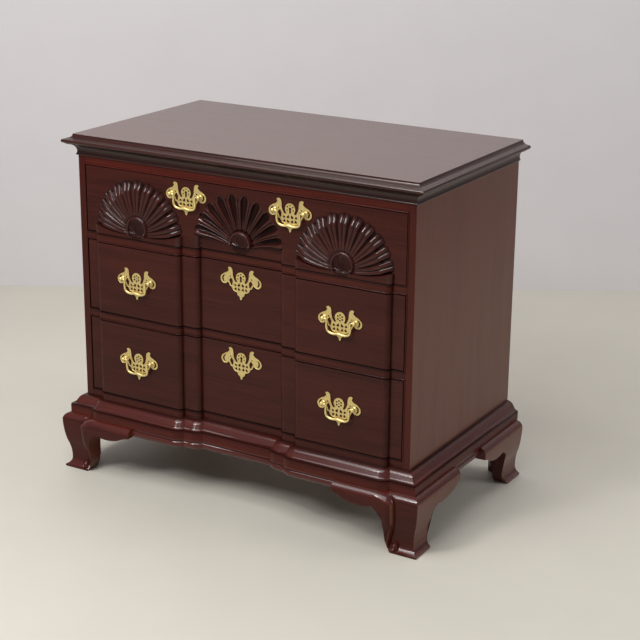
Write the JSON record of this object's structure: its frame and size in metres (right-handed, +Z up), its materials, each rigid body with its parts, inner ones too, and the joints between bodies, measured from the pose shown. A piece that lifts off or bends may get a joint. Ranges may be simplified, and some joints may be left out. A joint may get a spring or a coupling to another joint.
{
  "type": "block front chest of drawers",
  "caption": "Mahogany block front chest with graduated drawers, carved shells on the top drawer, brass bail pulls and ogee bracket feet.",
  "frame": {"origin": "on the floor under the middle of the chest's bounding box", "axes": "+X runs along the front to the right as seen from the front, -Y is the drawer front side, +Z is up"},
  "size_m": [0.9446, 0.5448, 0.8006],
  "materials": {
    "case_mahogany": "satin lacquer, dark red-brown",
    "front_mahogany": "gloss lacquer over dark red-brown stain",
    "drawer_lining": "clear sealed",
    "secondary_wood": "plain, unpolished",
    "brass": "polished and lacquered"
  },
  "bodies": {
    "case": {"back_panel": "secondary_wood", "base_moulding_front": "case_mahogany", "base_moulding_left": "case_mahogany", "base_moulding_right": "case_mahogany", "bottom_rail": "case_mahogany", "case_bottom": "secondary_wood", "cove_moulding": "case_mahogany", "drawer_kickers": "secondary_wood", "drawer_runners": "secondary_wood", "drawer_stops": "secondary_wood", "foot_front_left": "case_mahogany", "foot_front_right": "case_mahogany", "foot_rear_left": "case_mahogany", "foot_rear_right": "case_mahogany", "lower_dust_panel": "secondary_wood", "lower_rail": "case_mahogany", "side_panel_left": "case_mahogany", "side_panel_right": "case_mahogany", "skirt_front": "case_mahogany", "skirt_sides": "case_mahogany", "stile_left": "case_mahogany", "stile_right": "case_mahogany", "top_board": "case_mahogany", "top_cleats": "secondary_wood", "top_rail": "case_mahogany", "upper_dust_panel": "secondary_wood", "upper_rail": "case_mahogany"},
    "top_drawer": {"top_drawer_back": "drawer_lining", "top_drawer_bottom": "drawer_lining", "top_drawer_front": "front_mahogany", "top_drawer_left_side": "drawer_lining", "top_drawer_right_side": "drawer_lining", "top_pull_plates": "brass", "top_pull_posts": "brass", "shell_left": "front_mahogany", "shell_right": "front_mahogany", "shell_middle": "front_mahogany"},
    "top_left_bail": {"top_left_bail": "brass"},
    "top_right_bail": {"top_right_bail": "brass"},
    "middle_drawer": {"middle_drawer_back": "drawer_lining", "middle_drawer_bottom": "drawer_lining", "middle_drawer_front": "front_mahogany", "middle_drawer_left_side": "drawer_lining", "middle_drawer_right_side": "drawer_lining", "middle_escutcheon": "brass", "middle_pull_plates": "brass", "middle_pull_posts": "brass"},
    "middle_left_bail": {"middle_left_bail": "brass"},
    "middle_right_bail": {"middle_right_bail": "brass"},
    "bottom_drawer": {"bottom_drawer_back": "drawer_lining", "bottom_drawer_bottom": "drawer_lining", "bottom_drawer_front": "front_mahogany", "bottom_drawer_left_side": "drawer_lining", "bottom_drawer_right_side": "drawer_lining", "bottom_escutcheon": "brass", "bottom_pull_plates": "brass", "bottom_pull_posts": "brass"},
    "bottom_left_bail": {"bottom_left_bail": "brass"},
    "bottom_right_bail": {"bottom_right_bail": "brass"}
  },
  "joints": [
    {"name": "top_drawer_slide", "type": "slide", "parent": "case", "child": "top_drawer", "axis": [0, -1, 0], "range_m": [0, 0.33]},
    {"name": "middle_drawer_slide", "type": "slide", "parent": "case", "child": "middle_drawer", "axis": [0, -1, 0], "range_m": [0, 0.33]},
    {"name": "bottom_drawer_slide", "type": "slide", "parent": "case", "child": "bottom_drawer", "axis": [0, -1, 0], "range_m": [0, 0.33]},
    {"name": "top_left_bail_hinge", "type": "hinge", "parent": "top_drawer", "child": "top_left_bail", "pos_m": [-0.133, -0.2271, 0.699], "axis": [-1, 0, 0], "range_deg": [-5, 100]},
    {"name": "top_right_bail_hinge", "type": "hinge", "parent": "top_drawer", "child": "top_right_bail", "pos_m": [0.133, -0.2271, 0.699], "axis": [-1, 0, 0], "range_deg": [-5, 100]},
    {"name": "middle_left_bail_hinge", "type": "hinge", "parent": "middle_drawer", "child": "middle_left_bail", "pos_m": [-0.264, -0.2396, 0.48715], "axis": [-1, 0, 0], "range_deg": [-5, 100]},
    {"name": "middle_right_bail_hinge", "type": "hinge", "parent": "middle_drawer", "child": "middle_right_bail", "pos_m": [0.264, -0.2396, 0.48715], "axis": [-1, 0, 0], "range_deg": [-5, 100]},
    {"name": "bottom_left_bail_hinge", "type": "hinge", "parent": "bottom_drawer", "child": "bottom_left_bail", "pos_m": [-0.264, -0.2396, 0.2959], "axis": [-1, 0, 0], "range_deg": [-5, 100]},
    {"name": "bottom_right_bail_hinge", "type": "hinge", "parent": "bottom_drawer", "child": "bottom_right_bail", "pos_m": [0.264, -0.2396, 0.2959], "axis": [-1, 0, 0], "range_deg": [-5, 100]}
  ]
}
